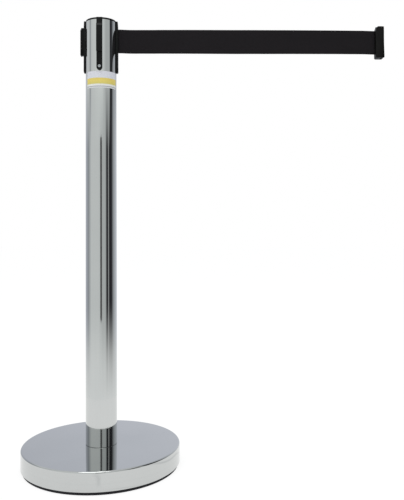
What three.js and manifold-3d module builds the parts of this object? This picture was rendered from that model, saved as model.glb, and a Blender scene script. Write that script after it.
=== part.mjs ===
// Retractable belt stanchion, modelled as it comes apart on a bench.
// Units are millimetres, +Z is up, and the origin is the centre of the underside.
// The belt is drawn out along +X; the three receivers face -X, -Y and +Y.

import * as THREE from 'three';
import { mergeVertices } from 'three/addons/utils/BufferGeometryUtils.js';
import Module from 'manifold-3d';

// ---------------------------------------------------------------- dimensions
const GAP = 0.3; // running gap between neighbouring pieces

// base
const BASE_R = 158.5; // outside of the metal cover
const BASE_TOP_Z = 42.4; // top face of the metal cover
const COVER_T = 1.2;
const COVER_EDGE_R = 3.2; // rounded top edge of the cover
const SKIRT_Z = 6.4; // lower edge of the cover's skirt
const RING_R = 155.3; // rubber ring that shows under the skirt
const RING_IN_R = 140;
const WEIGHT_R = 150;
const WEIGHT_Z0 = 3;
const WEIGHT_Z1 = 19;
const BOSS_R = 42; // central boss of the weight, under the post
const PAD_T = 2.2;

// post
const POST_R = 31.5;
const POST_WALL = 1.2;
const POST_IN_R = POST_R - POST_WALL;
const POST_Z0 = BASE_TOP_Z + GAP;
const POST_Z1 = 903.9;
const TOP_Z = 907.5;

// head: four vertical strips at 90 degrees
const STRIP_W = 12;
const STRIP_IN_R = POST_R + GAP;
const STRIP_OUT_R = 35.5;
const STRIP_TOP_R = 34.7; // the strips thin out towards their top
const STRIP_Z0 = 798;
const STRIP_Z1 = 906.8;
const RAIL_Z0 = 835;
const RAIL_Z1 = 893;
const RAIL_NECK_W = 6.8;
const RAIL_HEAD_W = 11.6;
const RAIL_NECK_R = 38.9; // inner face of the T head
const RAIL_OUT_R = 42.3; // outer face of the T head
const SCREW_Z = 806; // one screw at the foot of each strip
const PEG_Z = 898; // moulded peg behind the top of each strip
const PEG_R = 1.5;
const SCREW_R = 3.4;

// belt and reel
const BELT_W = 50;
const BELT_T = 0.7;
const BELT_Z = 866.5; // belt centre line
const COIL_R0 = 10.4;
const COIL_R1 = 21.4; // coil with 0.54 m of belt drawn out of 2.0 m
const FLANGE_R = 25.2;
const CORE_R = 10;
const AXLE_R = 3;

// belt clip
const CLIP_X0 = 578.6;
const CLIP_X1 = 597.3;
const CLIP_W = 17;
const CLIP_Z0 = 833;
const CLIP_Z1 = 900.2;
const PIN_X = 583.4;
const PIN_R = 1.5;

// ------------------------------------------------------------------ helpers
const wasm = await Module();
wasm.setup();

// closed three.js geometry -> manifold solid
function solid(geometry, matrix) {
  let g = geometry.clone();
  if (matrix) g.applyMatrix4(matrix);
  g.deleteAttribute('normal');
  g.deleteAttribute('uv');
  g = mergeVertices(g, 1e-4);
  const index = g.getIndex().array;
  const tri = [];
  for (let i = 0; i < index.length; i += 3) {
    const [a, b, c] = [index[i], index[i + 1], index[i + 2]];
    if (a !== b && b !== c && a !== c) tri.push(a, b, c);
  }
  const position = g.getAttribute('position');
  const make = (t) => new wasm.Manifold(new wasm.Mesh({
    numProp: 3,
    vertProperties: new Float32Array(position.array),
    triVerts: new Uint32Array(t),
  }));
  // signed volume tells which way the faces point
  let volume = 0;
  const p = new THREE.Vector3(), q = new THREE.Vector3(), r = new THREE.Vector3();
  for (let i = 0; i < tri.length; i += 3) {
    p.fromBufferAttribute(position, tri[i]);
    q.fromBufferAttribute(position, tri[i + 1]);
    r.fromBufferAttribute(position, tri[i + 2]);
    volume += p.dot(q.clone().cross(r));
  }
  if (volume < 0) for (let i = 0; i < tri.length; i += 3) [tri[i], tri[i + 1]] = [tri[i + 1], tri[i]];
  return make(tri);
}

function geometryOf(manifold) {
  const m = manifold.getMesh();
  const g = new THREE.BufferGeometry();
  const n = m.numProp;
  const v = m.vertProperties;
  const xyz = new Float32Array((v.length / n) * 3);
  for (let i = 0, k = 0; i < v.length; i += n) {
    xyz[k++] = v[i];
    xyz[k++] = v[i + 1];
    xyz[k++] = v[i + 2];
  }
  g.setAttribute('position', new THREE.BufferAttribute(xyz, 3));
  g.setIndex(new THREE.BufferAttribute(new Uint32Array(m.triVerts), 1));
  g.computeVertexNormals();
  return g;
}

// profile of [radius, height] pairs turned about Z
function turned(profile, segments = 48) {
  const g = new THREE.LatheGeometry(profile.map(([r, z]) => new THREE.Vector2(r, z)), segments);
  g.rotateX(Math.PI / 2);
  return solid(g);
}

function ring(r0, r1, z0, z1, segments = 48) {
  return turned([[r0, z0], [r1, z0], [r1, z1], [r0, z1], [r0, z0]], segments);
}

function disc(r, z0, z1, segments = 48) {
  return turned([[0, z0], [r, z0], [r, z1], [0, z1]], segments);
}

function shapeOf(points, holes = []) {
  const s = new THREE.Shape(points.map(([x, y]) => new THREE.Vector2(x, y)));
  for (const h of holes) s.holes.push(new THREE.Path(h.map(([x, y]) => new THREE.Vector2(x, y))));
  return s;
}

// outline in the XY plane, pushed up from z0 to z1
function raised(points, z0, z1, holes) {
  const g = new THREE.ExtrudeGeometry(shapeOf(points, holes), { depth: z1 - z0, bevelEnabled: false });
  g.translate(0, 0, z0);
  return solid(g);
}

// outline of [x, z] pairs, pushed along Y from y0 to y1
function sideways(points, y0, y1) {
  const g = new THREE.ExtrudeGeometry(shapeOf(points), { depth: y1 - y0, bevelEnabled: false });
  g.rotateX(Math.PI / 2);
  g.translate(0, y1, 0);
  return solid(g);
}

function box(x0, x1, y0, y1, z0, z1) {
  const g = new THREE.BoxGeometry(x1 - x0, y1 - y0, z1 - z0);
  g.translate((x0 + x1) / 2, (y0 + y1) / 2, (z0 + z1) / 2);
  return solid(g);
}

// cylinder along +X, for the radial holes and screws
function radialRod(r, x0, x1, z, segments = 16) {
  const g = new THREE.CylinderGeometry(r, r, x1 - x0, segments);
  g.rotateZ(Math.PI / 2);
  g.translate((x0 + x1) / 2, 0, z);
  return solid(g);
}

const deg = Math.PI / 180;
function turn(azimuth) {
  return new THREE.Matrix4().makeRotationZ(azimuth * deg);
}

function turnedBy(manifold, azimuth) {
  return solid(geometryOf(manifold), turn(azimuth));
}

// points on an arc, angles in degrees
function arc(cx, cy, r, a0, a1, n) {
  const out = [];
  for (let i = 0; i <= n; i++) {
    const a = (a0 + ((a1 - a0) * i) / n) * deg;
    out.push([cx + r * Math.cos(a), cy + r * Math.sin(a)]);
  }
  return out;
}

// ---------------------------------------------------------------- materials
const FINISH = {
  steel: { color: 0xc9cdd0, roughness: 0.08, metalness: 1 },
  blackPlastic: { color: 0x141416, roughness: 0.38, metalness: 0 },
  innerPlastic: { color: 0x2b2d30, roughness: 0.55, metalness: 0 },
  nylon: { color: 0xd8d6cc, roughness: 0.5, metalness: 0 },
  belt: { color: 0x17171a, roughness: 0.85, metalness: 0 },
  rubber: { color: 0x161616, roughness: 0.75, metalness: 0 },
  castIron: { color: 0x3a3b3d, roughness: 0.8, metalness: 0.4 },
  zinc: { color: 0xb9bcc0, roughness: 0.32, metalness: 1 },
  springSteel: { color: 0x5c6066, roughness: 0.35, metalness: 1 },
  label: { color: 0xe6e4ee, roughness: 0.5, metalness: 0 },
};

const root = new THREE.Group();

function place(parent, name, manifold, finish) {
  const mesh = new THREE.Mesh(geometryOf(manifold), new THREE.MeshStandardMaterial(FINISH[finish]));
  mesh.name = name;
  parent.add(mesh);
  return mesh;
}

function group(parent, x = 0, y = 0, z = 0, azimuth = 0) {
  const g = new THREE.Group();
  g.position.set(x, y, z);
  g.rotation.z = azimuth * deg;
  parent.add(g);
  return g;
}

// --------------------------------------------------------------------- base
const base = group(root);
const BASE_SEG = 56;

// thin pad that closes the underside and carries the middle of the base
place(base, 'floor_pad', disc(RING_IN_R - GAP, 0, PAD_T, BASE_SEG), 'rubber');

// ring under the rim: its foot shows below the skirt, its shoulder carries the cover
place(base, 'floor_ring', turned([
  [RING_IN_R, 0], [RING_R, 0], [RING_R, SKIRT_Z + 0.4], [BASE_R - COVER_T - GAP, SKIRT_Z + 0.9], [BASE_R - COVER_T - GAP, 12],
  [WEIGHT_R + GAP, 12], [WEIGHT_R + GAP, WEIGHT_Z0 - GAP], [RING_IN_R, WEIGHT_Z0 - GAP], [RING_IN_R, 0],
], BASE_SEG), 'rubber');

// cast weight with a central boss, a bolt hole and a recess for the bolt head
place(base, 'base_weight', turned([
  [6.8, 17.5], [16, 17.5], [16, WEIGHT_Z0], [WEIGHT_R, WEIGHT_Z0], [WEIGHT_R, WEIGHT_Z1], [BOSS_R + 4, WEIGHT_Z1],
  [BOSS_R, BASE_TOP_Z - COVER_T - GAP], [6.8, BASE_TOP_Z - COVER_T - GAP], [6.8, 17.5],
], BASE_SEG), 'castIron');

// pressed cover: flat top, rounded edge, straight skirt
{
  const r = BASE_R, z = BASE_TOP_Z, e = COVER_EDGE_R, t = COVER_T;
  const outer = arc(r - e, z - e, e, 0, 90, 3);
  const inner = arc(r - e, z - e, e - t, 90, 0, 3);
  place(base, 'base_cover', turned([
    [r, SKIRT_Z], ...outer, [7.5, z], [7.5, z - t], ...inner, [r - t, SKIRT_Z], [r, SKIRT_Z],
  ], BASE_SEG), 'steel');
}

// bolt from below, through weight, cover and foot plug
{
  const head = solid(new THREE.CylinderGeometry(10, 10, 7.5, 6).rotateX(Math.PI / 2).translate(0, 0, 11.15));
  const shank = disc(6, 14, 78, 24);
  place(base, 'base_bolt', head.add(shank), 'zinc');
}
place(base, 'base_washer', ring(6.4, 13.5, 15.2, 17.2, 24), 'zinc');
{
  const hex = solid(new THREE.CylinderGeometry(10.4, 10.4, 9.5, 6).rotateX(Math.PI / 2).translate(0, 0, 68.35));
  place(base, 'base_nut', hex.subtract(disc(6.3, 60, 80, 24)), 'zinc');
}

// --------------------------------------------------------------------- post
const post = group(root);
const POST_SEG = 48;

place(post, 'post_foot_plug', turned([
  [6.4, POST_Z0], [POST_IN_R - GAP, POST_Z0], [POST_IN_R - GAP, 58], [13.5, 58], [13.5, 63.2], [6.4, 63.2], [6.4, POST_Z0],
], POST_SEG), 'zinc');

{
  let tube = ring(POST_IN_R, POST_R, POST_Z0, POST_Z1, POST_SEG);
  // screw hole and peg hole behind each strip
  for (const azimuth of [0, 90, 180, 270]) {
    for (const z of [SCREW_Z, PEG_Z]) tube = tube.subtract(turnedBy(radialRod(2.1, 26, 36, z, 12), azimuth));
  }
  // window behind the belt outlet
  tube = tube.subtract(box(24, 36, -5.4, 6.2, 837.8, 894.9));
  place(post, 'post_tube', tube, 'steel');
}

place(post, 'top_cap', turned([
  [0, 902.4], [POST_IN_R - GAP, 902.4], [POST_IN_R - GAP, POST_Z1 + GAP],
  [POST_R, POST_Z1 + GAP], [POST_R, TOP_Z - 1], [POST_R - 0.9, TOP_Z], [0, TOP_Z],
], POST_SEG), 'blackPlastic');

// plain wrap label below the head
{
  const r0 = POST_R + GAP, r1 = r0 + 0.2;
  const outline = [...arc(0, 0, r1, -145, -15, 20), ...arc(0, 0, r0, -15, -145, 20)];
  place(post, 'blank_label', raised(outline, 762.5, 796.6), 'label');
}

// ----------------------------------------------------------------- cassette
const cassette = group(root);
const CELL_R = POST_IN_R - 0.4; // outside of the cassette, inside the tube
const CELL_Z0 = 799;
const CELL_FLOOR = 826.2;
const CELL_Z1 = 894.2;
const LID_Z1 = 902;

{
  // lower block, with a C-shaped wall that leaves the outlet side open
  const block = disc(CELL_R, CELL_Z0, CELL_FLOOR, POST_SEG);
  const wall = raised([...arc(0, 0, CELL_R, 32, 328, 32), ...arc(0, 0, CELL_R - 2.1, 328, 32, 32)], CELL_FLOOR - 1, CELL_Z1);
  let body = block.add(wall).subtract(disc(AXLE_R + GAP, 814.5, 830, 20));
  for (const azimuth of [0, 90, 180, 270]) {
    body = body.subtract(turnedBy(radialRod(1.8, 21, 33, SCREW_Z, 12), azimuth));
  }
  place(cassette, 'cassette_body', body, 'innerPlastic');
}
{
  let lid = disc(CELL_R, CELL_Z1 + GAP, LID_Z1, POST_SEG).subtract(disc(AXLE_R + GAP, 890, 900.2, 20));
  for (const azimuth of [0, 90, 180, 270]) {
    lid = lid.subtract(turnedBy(radialRod(1.8, 21, 33, PEG_Z, 12), azimuth));
  }
  place(cassette, 'cassette_lid', lid, 'innerPlastic');
}
place(cassette, 'reel_axle', turned([[0, 815], [AXLE_R, 815], [AXLE_R, 899.8], [0, 899.8]], 20), 'zinc');

// flat spiral spring, inner end on the axle, outer end on the case
{
  const turns = 6.5, steps = 84, r0 = 3.9, r1 = 21.6, t = 0.5;
  const left = [], right = [];
  for (let i = 0; i <= steps; i++) {
    const a = (i / steps) * turns * 2 * Math.PI;
    const r = r0 + ((r1 - r0) * i) / steps;
    left.push([(r + t / 2) * Math.cos(a), (r + t / 2) * Math.sin(a)]);
    right.push([(r - t / 2) * Math.cos(a), (r - t / 2) * Math.sin(a)]);
  }
  place(cassette, 'power_spring', raised([...left, ...right.reverse()], 829.3, 838), 'springSteel');
}

// --------------------------------------------------------------------- reel
const reel = group(root);
const FLANGE_Z0 = BELT_Z - BELT_W / 2 - 0.4;
const FLANGE_Z1 = BELT_Z + BELT_W / 2 + 0.4;
place(reel, 'reel_spool', turned([
  [5, FLANGE_Z0 - 2], [FLANGE_R, FLANGE_Z0 - 2], [FLANGE_R, FLANGE_Z0], [CORE_R, FLANGE_Z0],
  [CORE_R, FLANGE_Z1], [FLANGE_R, FLANGE_Z1], [FLANGE_R, FLANGE_Z1 + 2], [5, FLANGE_Z1 + 2], [5, FLANGE_Z0 - 2],
], 36), 'innerPlastic');
place(reel, 'axle_bush_lower', ring(AXLE_R + GAP, 4.7, FLANGE_Z0 - 1.6, FLANGE_Z0 + 8, 16), 'nylon');
place(reel, 'axle_bush_upper', ring(AXLE_R + GAP, 4.7, FLANGE_Z1 - 8, FLANGE_Z1 + 1.6, 16), 'nylon');
place(reel, 'spring_case', turned([
  [4.5, 827.4], [24.6, 827.4], [24.6, FLANGE_Z0 - 2 - GAP], [22.6, FLANGE_Z0 - 2 - GAP], [22.6, 828.7], [4.5, 828.7], [4.5, 827.4],
], 36), 'zinc');
place(reel, 'belt_coil', ring(COIL_R0, COIL_R1, BELT_Z - BELT_W / 2, BELT_Z + BELT_W / 2, 36), 'belt');

// -------------------------------------------------------------- belt outlet
// The belt leaves the coil tangentially, bends round the inner lip of the
// outlet and runs straight out along +X.
const LIP = { x: 29, r: 2 }; // inner lip, on the +Y side of the slot
const LIP_Y = BELT_T / 2 + GAP + LIP.r;
{
  const yA = BELT_T / 2 + GAP; // +Y face of the slot
  const yB = -1.75; // -Y face of the slot
  const z0 = BELT_Z - BELT_W / 2 - 0.8, z1 = BELT_Z + BELT_W / 2 + 0.8;
  // strip section with the guide block behind it
  const strip = stripSection(false);
  const guide = raised([[27, -4.6], [STRIP_IN_R + 1, -4.6], [STRIP_IN_R + 1, 5.4], [27, 5.4]], 838.6, 894.1);
  // flared slot
  const slot = raised([
    ...arc(LIP.x, yA + LIP.r, LIP.r, 200, 270, 5), ...arc(STRIP_OUT_R - 1.4, yA + 1.4, 1.4, 270, 350, 4), [STRIP_OUT_R + 2, yA + 1.6],
    [STRIP_OUT_R + 2, yB - 1.6], ...arc(STRIP_OUT_R - 1.4, yB - 1.4, 1.4, 10, 90, 4), ...arc(LIP.x, yB - LIP.r, LIP.r, 90, 160, 5),
    [24, yB - LIP.r], [24, yA + LIP.r],
  ], z0, z1);
  place(group(root), 'outlet_strip', strip.add(guide).subtract(slot), 'blackPlastic');
}

// one vertical strip, built facing +X; the same moulding carries the T rail
function stripSection(withRail) {
  const h = STRIP_W / 2;
  const a = Math.asin(h / STRIP_IN_R) / deg;
  const back = arc(0, 0, STRIP_IN_R, a, -a, 6);
  const section = [[STRIP_OUT_R, -h + 1.1], [STRIP_OUT_R, h - 1.1], [STRIP_OUT_R - 0.35, h - 0.35], [STRIP_OUT_R - 1.1, h], ...back, [STRIP_OUT_R - 1.1, -h], [STRIP_OUT_R - 0.35, -h + 0.35]];
  let strip = raised(section, STRIP_Z0, STRIP_Z1);
  // rounded lower end, seen square on
  const outline = [...arc(0, STRIP_Z0 + h, h, 180, 360, 12), [h, STRIP_Z1], [-h, STRIP_Z1]];
  const trim = new THREE.ExtrudeGeometry(shapeOf(outline), { depth: 14, bevelEnabled: false });
  trim.rotateX(Math.PI / 2).rotateZ(Math.PI / 2).translate(26, 0, 0);
  strip = strip.intersect(solid(trim));
  // thinner top and a slightly softened foot
  strip = strip.intersect(sideways([
    [28, STRIP_Z0 - 1], [STRIP_OUT_R - 1, STRIP_Z0 - 1], [STRIP_OUT_R, STRIP_Z0 + 2.4], [STRIP_OUT_R, RAIL_Z1 - 1],
    [STRIP_TOP_R, STRIP_Z1 - 1], [STRIP_TOP_R - 0.7, STRIP_Z1], [28, STRIP_Z1],
  ], -10, 10));
  if (withRail) {
    const n = RAIL_NECK_W / 2, w = RAIL_HEAD_W / 2;
    const tee = raised([
      [STRIP_OUT_R - 1.5, -n], [RAIL_NECK_R, -n], [RAIL_NECK_R, -w + 0.4], [RAIL_NECK_R + 0.4, -w], [RAIL_OUT_R - 0.9, -w], [RAIL_OUT_R, -w + 0.9],
      [RAIL_OUT_R, w - 0.9], [RAIL_OUT_R - 0.9, w], [RAIL_NECK_R + 0.4, w], [RAIL_NECK_R, w - 0.4], [RAIL_NECK_R, n], [STRIP_OUT_R - 1.5, n],
    ], RAIL_Z0, RAIL_Z1);
    // lead-in chamfer at the top of the rail
    const lead = sideways([[32, RAIL_Z0], [RAIL_OUT_R - 0.5, RAIL_Z0], [RAIL_OUT_R, RAIL_Z0 + 0.5], [RAIL_OUT_R, RAIL_Z1 - 5.6], [RAIL_OUT_R - 3, RAIL_Z1], [32, RAIL_Z1]], -8, 8);
    strip = strip.add(tee.intersect(lead));
  }
  // counterbored screw hole at the foot, locating peg behind the top
  strip = strip.subtract(radialRod(1.9, 28, 40, SCREW_Z, 16));
  strip = strip.subtract(radialRod(SCREW_R + 0.4, 33.2, 40, SCREW_Z, 20));
  return strip.add(radialRod(PEG_R, 25, STRIP_IN_R + 1, PEG_Z, 12));
}

const sides = { front: 270, left: 180, back: 90 };
for (const [side, azimuth] of Object.entries(sides)) {
  place(group(root, 0, 0, 0, azimuth), `receiver_${side}`, stripSection(true), 'blackPlastic');
}

// pan-head screws: one through the foot of each strip, into the cassette
function screw(z) {
  const profile = [[0, 24.5], [1.0, 24.5], [1.5, 25.5], [1.5, 33.5], [SCREW_R, 33.5], [SCREW_R, 34.2], [SCREW_R - 0.9, 35.1], [0, 35.2]];
  const g = new THREE.LatheGeometry(profile.map(([r, x]) => new THREE.Vector2(r, x)), 14);
  g.rotateZ(-Math.PI / 2).translate(0, 0, z);
  return solid(g);
}
for (const [side, azimuth] of Object.entries({ ...sides, outlet: 0 })) {
  place(group(root, 0, 0, 0, azimuth), `${side}_screw`, screw(SCREW_Z), 'zinc');
}

// --------------------------------------------------------------------- belt
{
  const h = BELT_T / 2;
  const coil = COIL_R1 + GAP + h; // centre line radius on the coil
  const bend = LIP.r + GAP + h; // centre line radius round the lip
  const cx = LIP.x, cy = LIP_Y;
  const d = Math.hypot(cx, cy);
  const heading = Math.atan2(cy, cx) / deg - Math.asin((coil + bend) / d) / deg;
  const start = heading + 90;
  const left = [], right = [];
  // tangent point on the coil
  const T = [coil * Math.cos(start * deg), coil * Math.sin(start * deg)];
  const nx = -Math.sin(heading * deg), ny = Math.cos(heading * deg);
  left.push([T[0] + nx * h, T[1] + ny * h]);
  right.push([T[0] - nx * h, T[1] - ny * h]);
  // round the lip
  left.push(...arc(cx, cy, bend - h, heading - 90, -90, 6));
  right.push(...arc(cx, cy, bend + h, heading - 90, -90, 6));
  // loop round the clip's pin
  const loopR = PIN_R + GAP + BELT_T;
  const a = Math.asin(h / loopR) / deg;
  const loop = arc(PIN_X, 0, loopR, 180 - a, -180 + a, 20);
  const eye = arc(PIN_X, 0, PIN_R + GAP, 0, 345, 15);
  place(group(root), 'belt_span', raised([...left, ...loop, ...right.reverse()], BELT_Z - BELT_W / 2, BELT_Z + BELT_W / 2, [eye]), 'belt');
}

// --------------------------------------------------------------------- clip
{
  const x0 = CLIP_X0, x1 = CLIP_X1, z0 = CLIP_Z0, z1 = CLIP_Z1, w = CLIP_W / 2;
  // plan section with softened corners
  const plan = raised([
    ...arc(x0 + 3, -w + 3, 3, 180, 270, 4), ...arc(x1 - 1.8, -w + 1.8, 1.8, 270, 360, 3),
    ...arc(x1 - 1.8, w - 1.8, 1.8, 0, 90, 3), ...arc(x0 + 3, w - 3, 3, 90, 180, 4),
  ], z0 - 1, z1 + 1);
  // side outline: sloping top corner on the belt side, large lower corner on the open side
  const side = sideways([
    ...arc(x0 + 3.4, z0 + 3.4, 3.4, 180, 270, 4), ...arc(x1 - 6, z0 + 6, 6, 270, 355, 6),
    [x1 - 0.4, 850], [x1 - 0.5, 866], [x1 - 0.3, 884], ...arc(x1 - 2.2, z1 - 2.2, 2.2, 5, 90, 4),
    ...arc(x0 + 6, z1 - 2.6, 2.6, 90, 140, 3), [x0 + 0.5, z1 - 9], [x0, z1 - 11],
  ], -w - 1, w + 1);
  let body = plan.intersect(side);
  // T-shaped channel, open towards +X and downwards, closed at the top
  const roof = 893.6;
  body = body.subtract(box(x1 - 7.2, x1 - 2.6, -6.3, 6.3, z0 - 2, roof));
  body = body.subtract(box(x1 - 4, x1 + 2, -3.9, 3.9, z0 - 2, roof));
  // slot for the belt and pocket for its loop, filled from above
  body = body.subtract(box(x0 - 2, PIN_X, -1.2, 1.2, BELT_Z - BELT_W / 2 - 0.6, BELT_Z + BELT_W / 2 + 0.6));
  const pocket = new THREE.CylinderGeometry(3.1, 3.1, 64, 20).rotateX(Math.PI / 2).translate(PIN_X, 0, 838.4 + 32);
  body = body.subtract(solid(pocket));
  const clip = group(root);
  place(clip, 'clip_body', body, 'blackPlastic');
  const pin = new THREE.CylinderGeometry(PIN_R, PIN_R, 55, 16).rotateX(Math.PI / 2);
  const plug = new THREE.CylinderGeometry(2.8, 2.8, 4.6, 20).rotateX(Math.PI / 2);
  place(group(clip, PIN_X, 0, 838.9 + 27.5), 'clip_pin', solid(pin), 'zinc');
  place(group(clip, PIN_X, 0, CLIP_Z1 - 0.2 - 2.3), 'clip_plug', solid(plug), 'blackPlastic');
}

export default root;
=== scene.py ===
# Looks for the retractable belt stanchion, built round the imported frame.
import bpy
import bmesh
import math
import numpy as np
from mathutils import Matrix, Vector


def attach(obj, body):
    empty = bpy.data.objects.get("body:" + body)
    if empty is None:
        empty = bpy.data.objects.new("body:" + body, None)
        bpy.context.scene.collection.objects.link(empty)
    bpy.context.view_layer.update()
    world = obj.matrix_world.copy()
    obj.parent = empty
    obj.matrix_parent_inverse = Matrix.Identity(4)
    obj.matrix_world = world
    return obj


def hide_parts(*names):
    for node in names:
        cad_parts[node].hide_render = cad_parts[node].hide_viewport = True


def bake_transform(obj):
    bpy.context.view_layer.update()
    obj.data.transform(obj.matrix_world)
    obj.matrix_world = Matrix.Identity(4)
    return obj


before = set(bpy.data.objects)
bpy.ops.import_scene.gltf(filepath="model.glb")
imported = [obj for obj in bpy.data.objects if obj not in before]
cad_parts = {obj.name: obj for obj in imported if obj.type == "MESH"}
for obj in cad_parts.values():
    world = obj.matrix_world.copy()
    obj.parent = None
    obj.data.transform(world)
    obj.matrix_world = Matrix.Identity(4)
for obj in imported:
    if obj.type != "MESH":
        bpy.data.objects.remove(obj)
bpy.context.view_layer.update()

scene = bpy.context.scene
MM = 0.001


def vec(*a):
    return Vector(a)


# ------------------------------------------------------------------ camera
YAW, PITCH, ROLL = 0.0494, 0.0452, -0.0079
F_PX = 645.67
cam_data = bpy.data.cameras.new("camera")
cam = bpy.data.objects.new("camera", cam_data)
scene.collection.objects.link(cam)
scene.camera = cam
fwd = vec(math.sin(YAW) * math.cos(PITCH), math.cos(YAW) * math.cos(PITCH), math.sin(PITCH))
rt0 = vec(math.cos(YAW), -math.sin(YAW), 0)
up0 = rt0.cross(fwd)
rt = math.cos(ROLL) * rt0 + math.sin(ROLL) * up0
up = -math.sin(ROLL) * rt0 + math.cos(ROLL) * up0
rot = Matrix((rt, up, -fwd)).transposed().to_4x4()
cam.matrix_world = Matrix.Translation(vec(0.1418, -1.3383, 0.4734)) @ rot
cam_data.sensor_width = 36
cam_data.lens = F_PX * 36 / 500
cam_data.shift_y = -0.10
cam_data.clip_start, cam_data.clip_end = 0.01, 100

scene.view_settings.view_transform = "Standard"
scene.view_settings.look = "None"
scene.view_settings.exposure = 0
scene.view_settings.gamma = 1


# --------------------------------------------------------------- materials
class Nodes:
    """A small helper for building procedural materials."""

    def __init__(self, name):
        self.m = bpy.data.materials.new(name)
        self.m.use_nodes = True
        self.t = self.m.node_tree
        self.b = self.t.nodes["Principled BSDF"]
        self._xyz = None

    def add(self, kind, **props):
        n = self.t.nodes.new(kind)
        for k, v in props.items():
            setattr(n, k, v)
        return n

    def link(self, a, b):
        self.t.links.new(a, b)

    def obj(self):
        if self._xyz is None:
            self._xyz = self.add("ShaderNodeTexCoord").outputs["Object"]
        return self._xyz

    def scaled(self, sx, sy, sz):
        n = self.add("ShaderNodeVectorMath", operation="MULTIPLY")
        self.link(self.obj(), n.inputs[0])
        n.inputs[1].default_value = (sx, sy, sz)
        return n.outputs[0]

    def noise(self, vector, scale, detail=3, rough=0.5, distortion=0.0):
        n = self.add("ShaderNodeTexNoise")
        n.inputs["Scale"].default_value = scale
        n.inputs["Detail"].default_value = detail
        n.inputs["Roughness"].default_value = rough
        n.inputs["Distortion"].default_value = distortion
        self.link(vector, n.inputs["Vector"])
        return n.outputs["Fac"]

    def ramp(self, fac, stops, interpolation="LINEAR"):
        n = self.add("ShaderNodeValToRGB")
        n.color_ramp.interpolation = interpolation
        e = n.color_ramp.elements
        while len(e) < len(stops):
            e.new(0.5)
        for k, (p, c) in zip(e, stops):
            k.position = p
            k.color = (*c, 1) if len(c) == 3 else c
        self.link(fac, n.inputs[0])
        return n.outputs["Color"]

    def range(self, fac, lo, hi, a=0.0, b=1.0):
        n = self.add("ShaderNodeMapRange")
        self.link(fac, n.inputs["Value"])
        n.inputs["From Min"].default_value = a
        n.inputs["From Max"].default_value = b
        n.inputs["To Min"].default_value = lo
        n.inputs["To Max"].default_value = hi
        return n.outputs["Result"]

    def math(self, op, a, b=None, c=None):
        n = self.add("ShaderNodeMath", operation=op)
        for i, x in enumerate((a, b, c)):
            if x is None:
                continue
            if isinstance(x, (int, float)):
                n.inputs[i].default_value = x
            else:
                self.link(x, n.inputs[i])
        return n.outputs[0]

    def split(self, v=None):
        n = self.add("ShaderNodeSeparateXYZ")
        self.link(v if v is not None else self.obj(), n.inputs[0])
        return n.outputs

    def mix(self, fac, a, b):
        n = self.add("ShaderNodeMix", data_type="RGBA")
        self.link(fac, n.inputs[0]) if not isinstance(fac, (int, float)) else setattr(n.inputs[0], "default_value", fac)
        for i, x in ((6, a), (7, b)):
            if isinstance(x, tuple):
                n.inputs[i].default_value = (*x, 1)
            else:
                self.link(x, n.inputs[i])
        return n.outputs[2]

    def bump(self, height, strength, distance, normal=None):
        n = self.add("ShaderNodeBump")
        n.inputs["Strength"].default_value = strength
        n.inputs["Distance"].default_value = distance
        self.link(height, n.inputs["Height"])
        if normal is not None:
            self.link(normal, n.inputs["Normal"])
        return n.outputs["Normal"]

    def set(self, **kw):
        for k, v in kw.items():
            s = self.b.inputs[k.replace("_", " ")]
            if isinstance(v, (int, float)):
                s.default_value = v
            elif isinstance(v, tuple):
                s.default_value = (*v, 1)
            else:
                self.link(v, s)
        return self.m


MATS = {}


def steel(name, turned=False):
    """Polished stainless: faint polishing lines, along the post or round the base."""
    n = Nodes(name)
    if turned:
        x, y, z = n.split()
        r = n.math("SQRT", n.math("ADD", n.math("MULTIPLY", x, x), n.math("MULTIPLY", y, y)))
        c = n.add("ShaderNodeCombineXYZ")
        n.link(n.math("MULTIPLY", r, 900.0), c.inputs[0])
        n.link(n.math("MULTIPLY", z, 900.0), c.inputs[1])
        lines = n.noise(c.outputs[0], 1.0, 4, 0.6)
    else:
        lines = n.noise(n.scaled(1500, 1500, 3.2), 1.0, 3, 0.5)
    cloud = n.noise(n.obj(), 9.0, 3, 0.5)
    specks = n.noise(n.obj(), 140.0, 2, 0.5)
    tone = n.math("ADD", n.math("MULTIPLY", cloud, 0.6), n.math("MULTIPLY", lines, 0.4))
    col = n.ramp(tone, [(0.30, (0.545, 0.560, 0.555)), (0.70, (0.590, 0.605, 0.597))])
    if turned:
        # painted reflection: faint curved dark lines painted into the skirt's colour
        swirl = n.noise(n.scaled(10, 10, 30), 1.0, 0, 0.4, 0.25)
        thin = n.range(n.math("ABSOLUTE", n.math("SUBTRACT", swirl, 0.5)), 1.0, 0.0, 0.0, 0.045)
        some = n.range(n.noise(n.scaled(9, 9, 9), 1.0, 2, 0.5), 0.0, 1.0, 0.46, 0.60)
        skirt = n.range(z, 1.0, 0.0, 0.0385, 0.0400)
        painted_reflection_lines = n.math("MULTIPLY", n.math("MULTIPLY", thin, some), skirt)
        col = n.mix(n.math("MULTIPLY", painted_reflection_lines, 0.40), col, (0.29, 0.31, 0.32))
        # painted shade: the whole skirt is painted 5% darker than the top
        col = n.mix(skirt, col, n.mix(0.05, col, (0.0, 0.0, 0.0)))
    rough = n.range(n.math("ADD", n.math("MULTIPLY", lines, 0.6), n.math("MULTIPLY", specks, 0.4)), 0.030, 0.070, 0.25, 0.75)
    n.set(Base_Color=col, Metallic=1.0, Roughness=rough, Normal=n.bump(lines, 0.03, 0.00001))
    MATS[name] = n.m
    return n.m


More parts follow.
